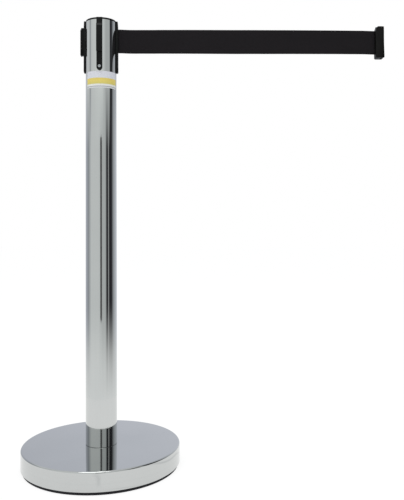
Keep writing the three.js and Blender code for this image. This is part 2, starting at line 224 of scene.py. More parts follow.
def moulded(name, dark, light, r0, r1, spec, grain=1600.0, depth=0.00004, strength=0.25):
    """Moulded plastic: fine spark-eroded grain, slight tone change, rubbed edges."""
    n = Nodes(name)
    fine = n.noise(n.obj(), grain, 2, 0.55)
    broad = n.noise(n.obj(), 38.0, 4, 0.55)
    edge = n.add("ShaderNodeNewGeometry").outputs["Pointiness"]
    worn = n.range(edge, 0.0, 1.0, 0.515, 0.60)
    scuff = n.math("MULTIPLY", worn, n.range(broad, 0.2, 1.0, 0.35, 0.65))
    col = n.mix(n.math("MULTIPLY", scuff, 0.14), n.ramp(broad, [(0.3, dark), (0.7, light)]), tuple(min(1, 2.2 * c + 0.006) for c in light))
    rough = n.range(n.math("ADD", n.math("MULTIPLY", fine, 0.5), n.math("MULTIPLY", broad, 0.5)), r0, r1, 0.3, 0.7)
    n.set(Base_Color=col, Roughness=rough, Specular_IOR_Level=spec, Normal=n.bump(fine, strength, depth))
    MATS[name] = n.m
    return n.m


def webbing(name):
    """Flat woven webbing: ribs across the width, warp yarns along it, bound edges."""
    n = Nodes(name)
    x, y, z = n.split()
    px, pz = 0.00135, 0.00092  # weft and warp pitch
    wx = n.math("MULTIPLY", x, 2 * math.pi / px)
    wz = n.math("MULTIPLY", z, 2 * math.pi / pz)
    # every second warp yarn is half a weft pitch out of step
    row = n.math("MULTIPLY", n.math("SIGN", n.math("SINE", n.math("MULTIPLY", wz, 0.5))), math.pi / 2)
    over = n.math("MULTIPLY", n.math("ADD", n.math("SINE", n.math("ADD", wx, row)), 1.0), 0.5)
    yarn = n.math("ABSOLUTE", n.math("SINE", n.math("MULTIPLY", wz, 0.5)))
    height = n.math("ADD", n.math("MULTIPLY", over, 0.55), n.math("MULTIPLY", yarn, 0.45))
    fibre = n.noise(n.scaled(900, 900, 5200), 1.0, 3, 0.6)
    height = n.math("ADD", height, n.math("MULTIPLY", fibre, 0.35))
    slub = n.noise(n.scaled(14, 14, 60), 1.0, 3, 0.5)
    # bound edges: the outer 2 mm is a tighter, darker weave
    off = n.math("ABSOLUTE", n.math("SUBTRACT", z, 0.8665))
    bound = n.range(off, 0.0, 1.0, 0.0222, 0.0231)
    groove = n.math("SUBTRACT", 1.0, n.range(n.math("ABSOLUTE", n.math("SUBTRACT", off, 0.0226)), 0.0, 1.0, 0.0, 0.0005))
    col = n.ramp(n.math("ADD", n.math("MULTIPLY", height, 0.55), n.math("MULTIPLY", slub, 0.45)), [(0.25, (0.0042, 0.0035, 0.0043)), (0.75, (0.0116, 0.0098, 0.0117))])
    col = n.mix(n.math("MULTIPLY", bound, 0.35), col, (0.0060, 0.0055, 0.0062))
    height = n.math("SUBTRACT", height, n.math("MULTIPLY", groove, 0.6))
    rough = n.range(slub, 0.62, 0.80, 0.3, 0.7)
    n.set(Base_Color=col, Roughness=rough, Specular_IOR_Level=0.10, Normal=n.bump(height, 0.55, 0.00018))
    n.b.inputs["Sheen Weight"].default_value = 0.01
    n.b.inputs["Sheen Roughness"].default_value = 0.5
    MATS[name] = n.m
    return n.m


def metal(name, dark, light, r0, r1, scale=60.0, grain=900.0, metallic=1.0):
    n = Nodes(name)
    broad = n.noise(n.obj(), scale, 4, 0.55)
    fine = n.noise(n.obj(), grain, 2, 0.5)
    n.set(Base_Color=n.ramp(broad, [(0.3, dark), (0.7, light)]), Metallic=metallic, Roughness=n.range(fine, r0, r1, 0.3, 0.7), Normal=n.bump(fine, 0.15, 0.00003))
    MATS[name] = n.m
    return n.m


def rubber(name):
    n = Nodes(name)
    fine = n.noise(n.obj(), 900.0, 3, 0.6)
    broad = n.noise(n.obj(), 22.0, 4, 0.6)
    dust = n.range(n.math("MULTIPLY", broad, fine), 0.0, 0.35, 0.28, 0.45)
    col = n.mix(dust, n.ramp(broad, [(0.3, (0.0085, 0.0085, 0.0115)), (0.7, (0.0125, 0.0125, 0.0165))]), (0.035, 0.034, 0.036))
    n.set(Base_Color=col, Roughness=n.range(broad, 0.55, 0.78, 0.3, 0.7), Specular_IOR_Level=0.2, Normal=n.bump(fine, 0.35, 0.00012))
    MATS[name] = n.m
    return n.m


def film(name):
    """Blank wrap label: pale field with one plain yellow band, no marks."""
    n = Nodes(name)
    x, y, z = n.split()
    t = n.range(z, 0.0, 1.0, 0.7625, 0.7966)
    fibre = n.noise(n.obj(), 420.0, 3, 0.5)
    t2 = n.math("ADD", t, n.math("MULTIPLY", n.math("SUBTRACT", fibre, 0.5), 0.004))
    col = n.ramp(t2, [
        (0.0, (0.64, 0.66, 0.67)), (0.055, (0.64, 0.66, 0.67)), (0.07, (0.30, 0.31, 0.33)), (0.10, (0.30, 0.31, 0.33)), (0.115, (0.70, 0.72, 0.70)), (0.22, (0.72, 0.73, 0.70)),
        (0.24, (0.60, 0.54, 0.15)), (0.40, (0.70, 0.58, 0.14)), (0.58, (0.70, 0.56, 0.14)), (0.60, (0.62, 0.64, 0.69)), (1.0, (0.63, 0.64, 0.70)),
    ])
    n.set(Base_Color=col, Roughness=n.range(fibre, 0.32, 0.46, 0.3, 0.7), Specular_IOR_Level=0.4, Normal=n.bump(fibre, 0.1, 0.00003))
    MATS[name] = n.m
    return n.m


steel("steel_post")
steel("steel_turned", turned=True)
moulded("black_plastic", (0.0030, 0.0033, 0.0034), (0.0052, 0.0056, 0.0056), 0.24, 0.36, 0.13, strength=0.10)
moulded("clip_plastic", (0.0036, 0.0035, 0.0034), (0.0060, 0.0058, 0.0056), 0.36, 0.48, 0.12, grain=1300.0, strength=0.25)
moulded("inner_plastic", (0.030, 0.031, 0.033), (0.045, 0.046, 0.048), 0.45, 0.60, 0.4)
moulded("nylon", (0.62, 0.61, 0.55), (0.72, 0.70, 0.64), 0.35, 0.5, 0.5)
webbing("webbing")
metal("zinc_steel", (0.58, 0.59, 0.60), (0.70, 0.71, 0.72), 0.20, 0.34)
metal("screw_steel", (0.36, 0.38, 0.39), (0.48, 0.50, 0.51), 0.24, 0.38, 400.0)
metal("spring_steel", (0.16, 0.18, 0.22), (0.26, 0.28, 0.32), 0.25, 0.4)
metal("cast_iron", (0.028, 0.029, 0.031), (0.055, 0.055, 0.057), 0.6, 0.85, 30.0, 500.0, 0.3)
rubber("rubber")
film("label_film")


# ----------------------------------------------------------------- geometry
def to_object(name, bm, mat, smooth_deg=35.0):
    """bmesh -> object with faces out, smooth shading and sharp edges where it turns."""
    bmesh.ops.remove_doubles(bm, verts=bm.verts, dist=1e-7)
    bmesh.ops.recalc_face_normals(bm, faces=bm.faces)
    limit = math.radians(smooth_deg)
    for f in bm.faces:
        f.smooth = True
    for e in bm.edges:
        e.smooth = not (len(e.link_faces) == 2 and e.calc_face_angle(0.0) > limit)
    me = bpy.data.meshes.new(name)
    bm.to_mesh(me)
    bm.free()
    me.materials.append(MATS[mat])
    o = bpy.data.objects.new(name, me)
    scene.collection.objects.link(o)
    return o


def arc(cx, cy, r, a0, a1, n):
    return [(cx + r * math.cos(math.radians(a0 + (a1 - a0) * i / n)), cy + r * math.sin(math.radians(a0 + (a1 - a0) * i / n))) for i in range(n + 1)]


def fillet(points, radii, steps=5, closed=True):
    """Rounds the corners of a polygon. radii is one number or one for each point."""
    n = len(points)
    if isinstance(radii, (int, float)):
        radii = [radii] * n
    out = []
    for i, p in enumerate(points):
        r = radii[i]
        if r <= 0 or (not closed and i in (0, n - 1)):
            out.append(tuple(p))
            continue
        p = Vector(p)
        a, b = Vector(points[i - 1]) - p, Vector(points[(i + 1) % n]) - p
        ang = a.angle(b)
        if ang > math.pi - 1e-3:
            out.append(tuple(p))
            continue
        cut = min(r / math.tan(ang / 2), 0.49 * a.length, 0.49 * b.length)
        rr = cut * math.tan(ang / 2)
        ua, ub = a.normalized(), b.normalized()
        c = p + (ua + ub).normalized() * (rr / math.sin(ang / 2))
        s, e = p + ua * cut - c, p + ub * cut - c
        a0, a1 = math.atan2(s.y, s.x), math.atan2(e.y, e.x)
        d = (a1 - a0 + math.pi) % (2 * math.pi) - math.pi
        k = max(2, min(steps, int(abs(d) / math.radians(9)) + 1))
        out += [(c.x + rr * math.cos(a0 + d * j / k), c.y + rr * math.sin(a0 + d * j / k)) for j in range(k + 1)]
    return out


def lathe_bm(profile, segs):
    """profile: (r, z) in mm. It closes on itself, or starts and ends on the axis."""
    bm = bmesh.new()
    closed = profile[0][0] > 1e-6 or profile[-1][0] > 1e-6
    rings = []
    for r, z in profile:
        if r < 1e-6:
            rings.append([bm.verts.new((0, 0, z * MM))])
        else:
            rings.append([bm.verts.new((r * MM * math.cos(2 * math.pi * k / segs), r * MM * math.sin(2 * math.pi * k / segs), z * MM)) for k in range(segs)])
    pairs = list(zip(rings, rings[1:])) + ([(rings[-1], rings[0])] if closed else [])
    for a, b in pairs:
        for k in range(segs):
            j = (k + 1) % segs
            if len(a) == 1 and len(b) == 1:
                continue
            if len(a) == 1:
                bm.faces.new((a[0], b[j], b[k]))
            elif len(b) == 1:
                bm.faces.new((a[k], a[j], b[0]))
            else:
                bm.faces.new((a[k], a[j], b[j], b[k]))
    return bm


def lathe(name, profile, segs, mat, **kw):
    return to_object(name, lathe_bm(profile, segs), mat, **kw)


def prism_bm(points, h0, h1, axis="z"):
    """Outline in mm pushed along an axis. For axis y the points are (x, z); for x they are (y, z)."""
    bm = bmesh.new()

    def at(p, h):
        if axis == "z":
            return (p[0] * MM, p[1] * MM, h * MM)
        if axis == "y":
            return (p[0] * MM, h * MM, p[1] * MM)
        return (h * MM, p[0] * MM, p[1] * MM)

    lo = [bm.verts.new(at(p, h0)) for p in points]
    hi = [bm.verts.new(at(p, h1)) for p in points]
    n = len(points)
    bm.faces.new(lo)
    bm.faces.new(hi)
    for i in range(n):
        j = (i + 1) % n
        bm.faces.new((lo[i], lo[j], hi[j], hi[i]))
    bmesh.ops.recalc_face_normals(bm, faces=bm.faces)
    return bm


def temp(bm):
    me = bpy.data.meshes.new("tmp")
    bmesh.ops.recalc_face_normals(bm, faces=bm.faces)
    bm.to_mesh(me)
    bm.free()
    o = bpy.data.objects.new("tmp", me)
    scene.collection.objects.link(o)
    return o


def cut(base, tools):
    """base and tools are temp objects; tools is a list of (operation, object). Returns a bmesh of the result."""
    for op, tool in tools:
        m = base.modifiers.new("b", "BOOLEAN")
        m.operation, m.object, m.solver = op, tool, "EXACT"
    dg = bpy.context.evaluated_depsgraph_get()
    dg.update()
    bm = bmesh.new()
    bm.from_mesh(base.evaluated_get(dg).to_mesh())
    for _, tool in tools:
        bpy.data.objects.remove(tool)
    bpy.data.objects.remove(base)
    bmesh.ops.remove_doubles(bm, verts=bm.verts, dist=2e-6)
    bmesh.ops.dissolve_degenerate(bm, edges=bm.edges, dist=2e-6)
    bmesh.ops.dissolve_limit(bm, angle_limit=math.radians(0.6), verts=bm.verts, edges=bm.edges)
    return bm


def soften(bm, width, segs=3, angle=38.0):
    """Rounds every edge that turns by more than angle."""
    me = bpy.data.meshes.new("tmp")
    bm.to_mesh(me)
    bm.free()
    o = bpy.data.objects.new("tmp", me)
    scene.collection.objects.link(o)
    m = o.modifiers.new("bevel", "BEVEL")
    m.width, m.segments, m.limit_method, m.angle_limit = width * MM, segs, "ANGLE", math.radians(angle)
    m.use_clamp_overlap = True
    m.miter_outer = "MITER_ARC"
    dg = bpy.context.evaluated_depsgraph_get()
    dg.update()
    out = bmesh.new()
    out.from_mesh(o.evaluated_get(dg).to_mesh())
    bpy.data.objects.remove(o)
    return out


def turned_copy(bm, azimuth):
    b = bm.copy()
    bmesh.ops.rotate(b, verts=b.verts, cent=(0, 0, 0), matrix=Matrix.Rotation(math.radians(azimuth), 3, "Z"))
    return b


# dimensions, in mm, the same as the CAD's
POST_R, POST_IN_R = 31.5, 30.3
POST_Z0, POST_Z1, TOP_Z = 42.7, 903.9, 907.5
BASE_R, BASE_TOP, SKIRT_Z = 158.5, 42.4, 6.4
STRIP_W, STRIP_IN, STRIP_OUT, STRIP_TOP = 12.0, 31.8, 35.5, 34.7
STRIP_Z0, STRIP_Z1, RAIL_Z0, RAIL_Z1 = 798.0, 906.8, 835.0, 893.0
RAIL_NECK, RAIL_OUT = 38.9, 42.3
SCREW_Z, PEG_Z = 806.0, 898.0
BELT_Z, BELT_W, BELT_T = 866.5, 50.0, 0.7
CLIP_X0, CLIP_X1, CLIP_Z0, CLIP_Z1 = 578.6, 597.3, 833.0, 900.2
PIN_X = 583.4

# --- base -----------------------------------------------------------------
t, e = 1.2, 3.2
cover = lathe("cover_shell", [(BASE_R, SKIRT_Z + 0.3), *arc(BASE_R - e, BASE_TOP - e, e, 0, 90, 14), (60, BASE_TOP), (36, BASE_TOP), (7.5, BASE_TOP), (7.5, BASE_TOP - t),
    *arc(BASE_R - e, BASE_TOP - e, e - t, 90, 0, 8), (BASE_R - t, SKIRT_Z), (BASE_R - 0.3, SKIRT_Z)], 288, "steel_turned")
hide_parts("base_cover")
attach(cover, "root")

RING_R = 155.3
foot = lathe("floor_ring_moulding", fillet([
    (140, 0), (RING_R, 0), (RING_R, 4.7), (RING_R - 0.6, 5.2), (RING_R - 0.6, 6.9), (BASE_R - 1.6, 7.3), (BASE_R - 1.6, 12), (150.3, 12), (150.3, 2.7), (140, 2.7)],
    [0.4, 1.3, 0.3, 0.2, 0.2, 0.2, 0.4, 0.3, 0.3, 0.4], 4), 240, "rubber")
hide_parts("floor_ring")
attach(foot, "root")

# --- post -----------------------------------------------------------------
tube = lathe("post_tube_shell", [(POST_IN_R, POST_Z0), (POST_R - 0.25, POST_Z0), (POST_R, POST_Z0 + 0.25), (POST_R, 300), (POST_R, 600), (POST_R, POST_Z1 - 0.2), (POST_R - 0.2, POST_Z1), (POST_IN_R, POST_Z1)], 192, "steel_post")
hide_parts("post_tube")
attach(tube, "root")

cap = lathe("top_cap_moulding", [(0, 902.4), (29.5, 902.4), (30.0, 902.9), (30.0, POST_Z1 + 0.15), (POST_R - 0.3, POST_Z1 + 0.15), (POST_R - 0.05, POST_Z1 + 0.4),
    (POST_R, POST_Z1 + 0.9), *arc(POST_R - 0.9, TOP_Z - 0.9, 0.9, 0, 80, 6), (28.2, TOP_Z - 0.02), (27.7, TOP_Z - 0.32), (27.2, TOP_Z - 0.34), (26.7, TOP_Z - 0.06), (20, TOP_Z - 0.02), (8, TOP_Z), (0, TOP_Z)], 160, "black_plastic", smooth_deg=50)
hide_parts("top_cap")
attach(cap, "root")

# --- label ----------------------------------------------------------------
def label():
    bm = bmesh.new()
    a0, a1, z0, z1, r0, r1 = -145.0, -15.0, 762.5, 796.6, 31.53, 31.66
    cr = 2.2  # corner radius
    na, nz = 90, 18
    half = math.radians(a1 - a0) / 2 * r1
    mid = (a0 + a1) / 2
    grid = {}
    for k, r in enumerate((r0, r1)):
        for i in range(na + 1):
            u = -half + 2 * half * i / na
            inset = 0.0
            d = half - abs(u)
            if d < cr:
                inset = cr - math.sqrt(max(0.0, cr * cr - (cr - d) ** 2))
            for j in range(nz + 1):
                z = z0 + inset + (z1 - z0 - 2 * inset) * j / nz
                a = math.radians(mid) + u / r1
                grid[k, i, j] = bm.verts.new((r * MM * math.cos(a), r * MM * math.sin(a), z * MM))
    for k in (0, 1):
        for i in range(na):
            for j in range(nz):
                q = [grid[k, i, j], grid[k, i + 1, j], grid[k, i + 1, j + 1], grid[k, i, j + 1]]
                bm.faces.new(q if k else q[::-1])
    for i in range(na):
        bm.faces.new((grid[0, i, 0], grid[0, i + 1, 0], grid[1, i + 1, 0], grid[1, i, 0]))
        bm.faces.new((grid[1, i, nz], grid[1, i + 1, nz], grid[0, i + 1, nz], grid[0, i, nz]))
    for j in range(nz):
        bm.faces.new((grid[1, 0, j], grid[1, 0, j + 1], grid[0, 0, j + 1], grid[0, 0, j]))
        bm.faces.new((grid[0, na, j], grid[0, na, j + 1], grid[1, na, j + 1], grid[1, na, j]))
    return to_object("wrap_label", bm, "label_film", 60)


lab = label()
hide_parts("blank_label")
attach(lab, "root")


# --- strips, receivers and outlet -------------------------------------------
def strip_parts(rail):
    h = STRIP_W / 2
    a = math.degrees(math.asin(h / STRIP_IN))
    back = arc(0, 0, STRIP_IN, a, -a, 10)
    front = fillet([(STRIP_IN, -h), (STRIP_OUT, -h), (STRIP_OUT, h), (STRIP_IN, h)], [0, 1.3, 1.3, 0], 7)[1:-1]
    section = front + back
    base = temp(prism_bm(section, STRIP_Z0 - 1, STRIP_Z1 + 1))
    outline = [*arc(0, STRIP_Z0 + h, h, 180, 360, 32), *fillet([(h, 880), (h, STRIP_Z1), (-h, STRIP_Z1), (-h, 880)], [0, 1.2, 1.2, 0], 5)[1:-1]]
    side = fillet([(26, STRIP_Z0 - 2), (STRIP_OUT - 1.6, STRIP_Z0 - 2), (STRIP_OUT - 1.2, STRIP_Z0), (STRIP_OUT, STRIP_Z0 + 3.2), (STRIP_OUT, RAIL_Z1 - 1.5), (STRIP_TOP, STRIP_Z1 - 0.4), (STRIP_TOP - 0.5, STRIP_Z1 + 0.01), (26, STRIP_Z1 + 0.01)],
        [0, 0, 1.2, 2.0, 8, 0.5, 0, 0], 6)
    ops = [("INTERSECT", temp(prism_bm(outline, 24, 50, "x"))), ("INTERSECT", temp(prism_bm(side, -12, 12, "y")))]
    bm = cut(base, ops)
    if rail:
        n, w = 3.4, 5.8
        tee = fillet([(STRIP_OUT - 1.8, -n), (RAIL_NECK, -n), (RAIL_NECK, -w), (RAIL_OUT, -w), (RAIL_OUT, w), (RAIL_NECK, w), (RAIL_NECK, n), (STRIP_OUT - 1.8, n)],
            [0, 0.35, 0.45, 0.9, 0.9, 0.45, 0.35, 0], 5)
        lead = fillet([(30, RAIL_Z0), (RAIL_OUT + 0.01, RAIL_Z0), (RAIL_OUT + 0.01, RAIL_Z1 - 5.6), (RAIL_OUT - 3, RAIL_Z1), (30, RAIL_Z1)], [0, 0.8, 2.2, 1.6, 0], 6)
        t_bm = cut(temp(prism_bm(tee, RAIL_Z0 - 1, RAIL_Z1 + 1)), [("INTERSECT", temp(prism_bm(lead, -9, 9, "y")))])
        bm = cut(temp(bm), [("UNION", temp(t_bm))])
    return bm


def bore(z, r, x0, x1, segs=40):
    return temp(prism_bm([(r * math.cos(2 * math.pi * k / segs), z + r * math.sin(2 * math.pi * k / segs)) for k in range(segs)], x0, x1, "x"))


def with_screw_holes(bm):
    return cut(temp(bm), [
        ("DIFFERENCE", bore(SCREW_Z, 1.9, 28, 40, 24)), ("DIFFERENCE", bore(SCREW_Z, 3.8, 33.2, 40)),
        ("UNION", bore(PEG_Z, 1.5, 25, STRIP_IN + 1.2, 24))])


receiver = soften(with_screw_holes(strip_parts(True)), 0.28, 2, 40)
for side, azimuth in (("front", 270), ("left", 180), ("back", 90)):
    o = to_object(f"{side}_receiver_moulding", turned_copy(receiver, azimuth), "black_plastic", 32)
    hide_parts(f"receiver_{side}")
    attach(o, "root")
receiver.free()

guide = temp(prism_bm(fillet([(27, -4.6), (33, -4.6), (33, 5.4), (27, 5.4)], [0.8, 0, 0, 0.8], 4), 838.6, 894.1))
yA, yB = BELT_T / 2 + 0.3, -1.75
slot_pts = [*arc(29, yA + 2, 2, 200, 270, 10), *arc(STRIP_OUT - 1.4, yA + 1.4, 1.4, 270, 350, 8), (37.5, yA + 1.6),
    (37.5, yB - 1.6), *arc(STRIP_OUT - 1.4, yB - 1.4, 1.4, 10, 90, 8), *arc(29, yB - 2, 2, 90, 160, 10), (24, yB - 2), (24, yA + 2)]
slot_cut = temp(prism_bm(slot_pts, BELT_Z - BELT_W / 2 - 0.8, BELT_Z + BELT_W / 2 + 0.8))
outlet_bm = with_screw_holes(cut(temp(strip_parts(False)), [("UNION", guide), ("DIFFERENCE", slot_cut)]))
outlet = to_object("outlet_moulding", soften(outlet_bm, 0.25, 2, 40), "black_plastic", 32)
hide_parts("outlet_strip")
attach(outlet, "root")


# --- screws ------------------------------------------------------------------
def screw_bm():
    """Pan head with a cross recess, along +X, centred on z = 0."""
    r = 3.4
    prof = [(0, 24.5), (0.9, 24.5), (1.5, 25.4), (1.5, 33.5), (r - 0.15, 33.5), (r, 33.65), (r, 34.0), *arc(r - 1.05, 34.1, 1.05, 0, 75, 6)[1:], (1.6, 35.17), (0.8, 35.2), (0, 35.2)]
    bm = lathe_bm(prof, 48)
    bmesh.ops.rotate(bm, verts=bm.verts, cent=(0, 0, 0), matrix=Matrix.Rotation(math.radians(90), 3, "Y"))
    tools = []
    for k in (0, 90):
        w, l = 0.42, 1.75
        pts = [(-l, -w), (l, -w), (l, w), (-l, w)]
        p = prism_bm(pts, 34.0, 36.0, "x")
        bmesh.ops.rotate(p, verts=p.verts, cent=(0, 0, 0), matrix=Matrix.Rotation(math.radians(k + 24), 3, "X"))
        tools.append(("DIFFERENCE", temp(p)))
    return soften(cut(temp(bm), tools), 0.06, 2, 40)


head = screw_bm()
for side, azimuth in (("front", 270), ("left", 180), ("back", 90), ("outlet", 0)):
    b = head.copy()
    bmesh.ops.rotate(b, verts=b.verts, cent=(0, 0, 0), matrix=Matrix.Rotation(math.radians({"front": 0, "left": 31, "back": 67, "outlet": 12}[side]), 3, "X"))
    bmesh.ops.translate(b, verts=b.verts, vec=(0, 0, SCREW_Z * MM))
    bmesh.ops.rotate(b, verts=b.verts, cent=(0, 0, 0), matrix=Matrix.Rotation(math.radians(azimuth), 3, "Z"))
    o = to_object(f"{side}_screw_detailed", b, "screw_steel", 32)
    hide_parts(f"{side}_screw")
    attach(o, "root")
head.free()


# --- belt clip ----------------------------------------------------------------
def clip_bm():
    x0, x1, z0, z1, w = CLIP_X0, CLIP_X1, CLIP_Z0, CLIP_Z1, 8.5
    step = 592.6
    plan = fillet([(x0, -w), (step, -w), (step + 0.4, -w + 0.5), (x1, -w + 0.5), (x1, w - 0.5), (step + 0.4, w - 0.5), (step, w), (x0, w)],
        [3.0, 0, 0, 2.0, 2.0, 0, 0, 3.0], 10)
    side = [*arc(x0 + 3.4, z0 + 3.4, 3.4, 180, 270, 12), *arc(x1 - 3.6, z0 + 3.6, 3.6, 270, 352, 12), (x1 - 0.42, 848), (x1 - 0.66, 858), (x1 - 0.72, 868), (x1 - 0.55, 880), (x1 - 0.2, 890),
        *arc(x1 - 2.0, z1 - 2.0, 2.0, 8, 90, 8), *arc(x0 + 6.2, z1 - 3.0, 3.0, 90, 138, 8), *arc(x0 + 3.0, z1 - 10.8, 3.0, 146, 180, 5)]
    ops = [("INTERSECT", temp(prism_bm(side, -w - 2, w + 2, "y")))]
    roof = 893.6
    ops.append(("DIFFERENCE", temp(prism_bm([(x1 - 7.2, -6.3), (x1 - 2.6, -6.3), (x1 - 2.6, -3.9), (x1 + 3, -3.9), (x1 + 3, 3.9), (x1 - 2.6, 3.9), (x1 - 2.6, 6.3), (x1 - 7.2, 6.3)], z0 - 3, roof))))
    ops.append(("DIFFERENCE", temp(prism_bm([(x0 - 3, -1.2), (PIN_X, -1.2), (PIN_X, 1.2), (x0 - 3, 1.2)], BELT_Z - BELT_W / 2 - 0.6, BELT_Z + BELT_W / 2 + 0.6))))
    ops.append(("DIFFERENCE", temp(prism_bm([(PIN_X + 3.1 * math.cos(2 * math.pi * k / 36), 3.1 * math.sin(2 * math.pi * k / 36)) for k in range(36)], 838.4, 904))))
    bm = cut(temp(prism_bm(plan, z0 - 2, z1 + 2)), ops)
    return soften(bm, 0.45, 3, 38)


clip = to_object("clip_moulding", clip_bm(), "clip_plastic", 34)
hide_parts("clip_body")
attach(clip, "belt_end")

plug = lathe("clip_plug_moulding", fillet([(0, 895.4), (2.8, 895.4), (2.8, 900.0), (0, 900.0)], [0, 0.3, 0.5, 0], 4, closed=False), 48, "clip_plastic")
plug.data.transform(Matrix.Translation((PIN_X * MM, 0, 0)))
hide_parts("clip_plug")
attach(plug, "belt_end")


# --- belt ------------------------------------------------------------------
# The free belt is one sheet from the coil to the clip. A point's share of the
# clip's travel has to grow evenly along the belt, so each column's offset
# across the sheet (0.2 mm in all) is set to give that share.
X_FIX, X_END = 36.2, 580.2
OFFSET = 0.2


def inverse_smoothstep(u):
    return 0.5 - math.sin(math.asin(1 - 2 * u) / 3)


# height of the belt's middle over a straight line, in mm, at shares of its length
SAG = [(0.0, -0.2), (0.05, -0.90), (0.11, -0.72), (0.18, -0.35), (0.28, -0.05), (0.42, 0.05), (0.54, 0.38), (0.68, 0.75), (0.82, 0.90), (0.94, 0.85), (1.0, 0.2)]


def along(table, u):
    for (a, va), (b, vb) in zip(table, table[1:]):
        if u <= b:
            t = (u - a) / (b - a)
            return va + (vb - va) * t * t * (3 - 2 * t)
    return table[-1][1]


def belt():
    bm = bmesh.new()
    coil = 21.4 + 0.3 + BELT_T / 2
    bend = 2 + 0.3 + BELT_T / 2
    cx, cy = 29.0, BELT_T / 2 + 0.3 + 2
    d = math.hypot(cx, cy)
    heading = math.degrees(math.atan2(cy, cx) - math.asin((coil + bend) / d))
    start = math.radians(heading + 90)
    line = []
    # a quarter turn lying on the coil, then the run to the lip
    for i in range(10):
        a = start + math.radians(60) * (1 - i / 10)
        line.append((coil * math.cos(a), coil * math.sin(a)))
    T = (coil * math.cos(start), coil * math.sin(start))
    L = arc(cx, cy, bend, heading - 90, -90, 8)
    for i in range(8):
        line.append((T[0] + (L[0][0] - T[0]) * i / 8, T[1] + (L[0][1] - T[1]) * i / 8))
    line += L[:-1] + [(cx, 0.0), (32.0, 0.0), (X_FIX, 0.0)]
    n = 160
    for i in range(1, n + 1):
        u = i / n
        line.append((X_FIX + (X_END - X_FIX) * u, -OFFSET * inverse_smoothstep(u)))
    rows = 20
    grid = []
    for x, y in line:
        u = max(0.0, min(1.0, (x - X_FIX) / (X_END - X_FIX))) if abs(y) < 1 else 0.0
        sag = along(SAG, u)
        narrow = -0.5 * math.sin(math.pi * u) ** 2 if u < 0.5 else -0.3 - 0.2 * math.sin(math.pi * u) ** 2
        col = []
        for j in range(rows + 1):
            v = -1 + 2 * j / rows
            z = BELT_Z + v * (BELT_W / 2 - narrow) + sag
            col.append(bm.verts.new((x * MM, y * MM, z * MM)))
        grid.append(col)
    for a, b in zip(grid, grid[1:]):
        for j in range(rows):
            bm.faces.new((a[j], b[j], b[j + 1], a[j + 1]))
    o = to_object("belt_webbing", bm, "webbing", 60)
    m = o.modifiers.new("thickness", "SOLIDIFY")
    m.thickness, m.offset, m.use_rim = BELT_T * MM, 0.0, True
    return o


web = belt()
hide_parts("belt_span")
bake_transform(web)


def loop():
    """The belt's end, folded round the clip's pin."""
    bm = bmesh.new()
    r = 2.5 - BELT_T / 2
    pts = [(X_END - 0.1, 0.02), (580.9, 0.02)]
    pts += arc(PIN_X, 0, r, 168, -166, 40)
    grid = []
    for x, y in pts:
        grid.append([bm.verts.new((x * MM, y * MM, (BELT_Z + (-1 + 2 * j / 8) * (BELT_W / 2 - 0.05)) * MM)) for j in range(9)])
    for a, b in zip(grid, grid[1:]):
        for j in range(8):
            bm.faces.new((a[j], b[j], b[j + 1], a[j + 1]))
    o = to_object("belt_end_loop", bm, "webbing", 60)
    m = o.modifiers.new("thickness", "SOLIDIFY")
    m.thickness, m.offset, m.use_rim = (BELT_T - 0.04) * MM, 0.0, True
    return o


eye = loop()
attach(eye, "belt_end")

# --- carried-over CAD pieces -------------------------------------------------
for name, mat in {
    "floor_pad": "rubber", "base_weight": "cast_iron", "base_bolt": "zinc_steel", "base_washer": "zinc_steel", "base_nut": "zinc_steel", "post_foot_plug": "zinc_steel",
    "cassette_body": "inner_plastic", "cassette_lid": "inner_plastic", "reel_axle": "zinc_steel", "power_spring": "spring_steel", "reel_spool": "inner_plastic",
    "axle_bush_lower": "nylon", "axle_bush_upper": "nylon", "spring_case": "zinc_steel", "belt_coil": "webbing", "clip_pin": "zinc_steel",
}.items():
    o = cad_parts[name]
    o.data.materials.clear()
    o.data.materials.append(MATS[mat])


# ------------------------------------------------------------------- studio
def plain(name, color, strength=None, rough=0.9):
    m = bpy.data.materials.new(name)
    m.use_nodes = True
    nt = m.node_tree
    b = nt.nodes["Principled BSDF"]
    b.inputs["Base Color"].default_value = (*color, 1)
    b.inputs["Roughness"].default_value = rough
    b.inputs["Specular IOR Level"].default_value = 0.0
    if strength is not None:
        b.inputs["Base Color"].default_value = (0, 0, 0, 1)
        b.inputs["Emission Color"].default_value = (*color, 1)
        b.inputs["Emission Strength"].default_value = strength
    return m


floor = to_object("floor", prism_bm([(-15000, -15000), (15000, -15000), (15000, 15000), (-15000, 15000)], -20, -0.05), "rubber")
floor.data.materials.clear()
floor_mat = plain("floor_white", (0.16, 0.16, 0.16))
floor_mat.node_tree.nodes["Principled BSDF"].inputs["Emission Color"].default_value = (1, 1, 1, 1)
floor_mat.node_tree.nodes["Principled BSDF"].inputs["Emission Strength"].default_value = 0.882
floor.data.materials.append(floor_mat)

# The paper sweep is white; the studio round it is a little darker.
world = bpy.data.worlds.new("studio")
scene.world = world
world.use_nodes = True
wt = world.node_tree
bg = wt.nodes["Background"]
bg.inputs["Color"].default_value = (1, 1, 1, 1)
bg.inputs["Strength"].default_value = 1.0
dim = wt.nodes.new("ShaderNodeBackground")
dim.inputs["Color"].default_value = (0.985, 0.99, 1.0, 1)
dim.inputs["Strength"].default_value = 0.74
path = wt.nodes.new("ShaderNodeLightPath")
both = wt.nodes.new("ShaderNodeMixShader")
wt.links.new(path.outputs["Is Camera Ray"], both.inputs[0])
wt.links.new(dim.outputs[0], both.inputs[1])
wt.links.new(bg.outputs[0], both.inputs[2])
wt.links.new(both.outputs[0], wt.nodes["World Output"].inputs["Surface"])

CAM_AZ = math.degrees(math.atan2(-1.3383, 0.1418))


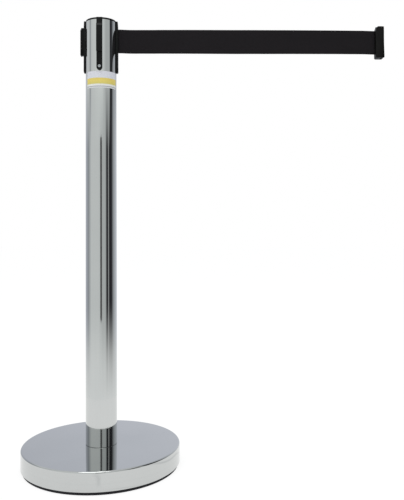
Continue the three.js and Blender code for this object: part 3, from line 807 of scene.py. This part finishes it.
def studio_wall():
    """What the polished steel mirrors: the studio round the sweep, darker and lighter in upright bands."""
    radius, height, segs = 1.32, 2.4, 180
    bm = bmesh.new()
    lo = [bm.verts.new((radius * math.cos(2 * math.pi * k / segs), radius * math.sin(2 * math.pi * k / segs), 0.001)) for k in range(segs)]
    hi = [bm.verts.new((v.co.x, v.co.y, height)) for v in lo]
    near = [bm.verts.new((v.co.x * 0.42, v.co.y * 0.42, 0.001)) for v in lo]
    for k in range(segs):
        j = (k + 1) % segs
        bm.faces.new((lo[k], lo[j], hi[j], hi[k]))
        bm.faces.new((near[k], near[j], lo[j], lo[k]))
    o = to_object("studio_wall", bm, "rubber", 60)
    n = Nodes("studio_wall")
    x, y, z = n.split()
    # angle round the post from the camera's side, 0 to 1, with the camera's side at 0.5
    a = math.radians(CAM_AZ)
    u = n.math("ADD", n.math("MULTIPLY", x, math.cos(a)), n.math("MULTIPLY", y, math.sin(a)))
    v = n.math("ADD", n.math("MULTIPLY", x, -math.sin(a)), n.math("MULTIPLY", y, math.cos(a)))
    turn = n.math("ADD", n.math("MULTIPLY", n.math("ARCTAN2", v, u), 1 / (2 * math.pi)), 0.5)

    def bands(stops):
        return n.ramp(turn, [((d + 180) / 360, c if isinstance(c, tuple) else (c, c, c)) for d, c in stops])

    pale, cool, flag = (0.80, 0.82, 0.82), (0.66, 0.68, 0.75), (0.03, 0.03, 0.035)
    mid, dim_grey, gap = (0.60, 0.62, 0.62), (0.38, 0.40, 0.43), (0.40, 0.40, 0.40)
    low = bands([(-180, cool), (-130, (0.52, 0.54, 0.60)), (-108, dim_grey), (-78, pale), (-20, pale), (10, mid), (30, mid),
        (40, flag), (50, flag), (52, gap), (57, gap), (60, flag), (82, flag), (105, (0.50, 0.52, 0.55)), (140, (0.75, 0.77, 0.84)), (180, cool)])
    high = bands([(-180, cool), (-100, pale), (-88, dim_grey), (-77, pale), (-10, (0.92, 0.95, 0.94)), (8, (0.92, 0.95, 0.94)), (36, mid), (64, mid),
        (70, flag), (84, flag), (105, (0.50, 0.52, 0.55)), (180, cool)])
    wall = n.mix(n.range(z, 0.0, 1.0, 0.80, 1.05), low, high)
    # the white sweep runs up to the foot of the wall
    up_wall = n.math("POWER", n.range(z, 1.0, 0.0, 0.0, 0.20), 1.8)
    out = n.math("SQRT", n.math("ADD", n.math("MULTIPLY", x, x), n.math("MULTIPLY", y, y)))
    along_floor = n.range(out, 1.0, 0.50, 0.56, 1.32)
    on_wall = n.math("GREATER_THAN", z, 0.002)
    white = n.math("ADD", n.math("MULTIPLY", on_wall, n.math("MULTIPLY", up_wall, 0.50)), n.math("MULTIPLY", n.math("SUBTRACT", 1.0, on_wall), along_floor))
    wall = n.mix(white, wall, (1.0, 1.01, 1.01))
    n.set(Base_Color=(0.0, 0.0, 0.0), Roughness=1.0, Specular_IOR_Level=0.0, Emission_Color=wall)
    n.b.inputs["Emission Strength"].default_value = 1.0
    o.data.materials.clear()
    o.data.materials.append(n.m)
    o.visible_camera = False
    o.visible_diffuse = False
    o.visible_shadow = False


studio_wall()


def card(name, rel, width, dist, z0, z1, level):
    """Upright studio card that the camera doesn't see, rel degrees round from the camera as seen from the post."""
    a = math.radians(CAM_AZ + rel)
    half = math.tan(math.radians(width / 2)) * dist
    bm = bmesh.new()
    c = Vector((math.cos(a), math.sin(a), 0)) * dist
    s = Vector((-math.sin(a), math.cos(a), 0)) * half
    q = [bm.verts.new(p) for p in (c - s + vec(0, 0, z0), c + s + vec(0, 0, z0), c + s + vec(0, 0, z1), c - s + vec(0, 0, z1))]
    bm.faces.new(q)
    o = to_object(name, bm, "rubber")
    o.data.materials.clear()
    o.data.materials.append(plain(name, level if isinstance(level, tuple) else (level,) * 3, 1.0))
    o.visible_camera = False
    o.visible_diffuse = False
    o.visible_shadow = False
    return o


card("card_camera", -1.2, 13.0, 1.28, 0.12, 0.84, 0.13)


def area(name, loc, target, size, power, color=(1, 1, 1)):
    d = bpy.data.lights.new(name, "AREA")
    d.shape, d.size, d.size_y, d.energy, d.color = "RECTANGLE", size[0], size[1], power, color
    o = bpy.data.objects.new(name, d)
    scene.collection.objects.link(o)
    o.location = loc
    o.rotation_euler = (Vector(target) - Vector(loc)).to_track_quat("-Z", "Y").to_euler()
    o.visible_camera = False
    return o


area("key", (-0.28, -0.95, 2.9), (0.0, -0.1, 0.3), (1.35, 1.4), 14)
area("fill", (-1.5, -2.4, 2.9), (0.1, 0, 0.5), (0.9, 0.9), 9).visible_glossy = False
area("top", (0.5, 0.6, 3.0), (0.1, 0, 0.3), (1.2, 1.2), 5).visible_glossy = False
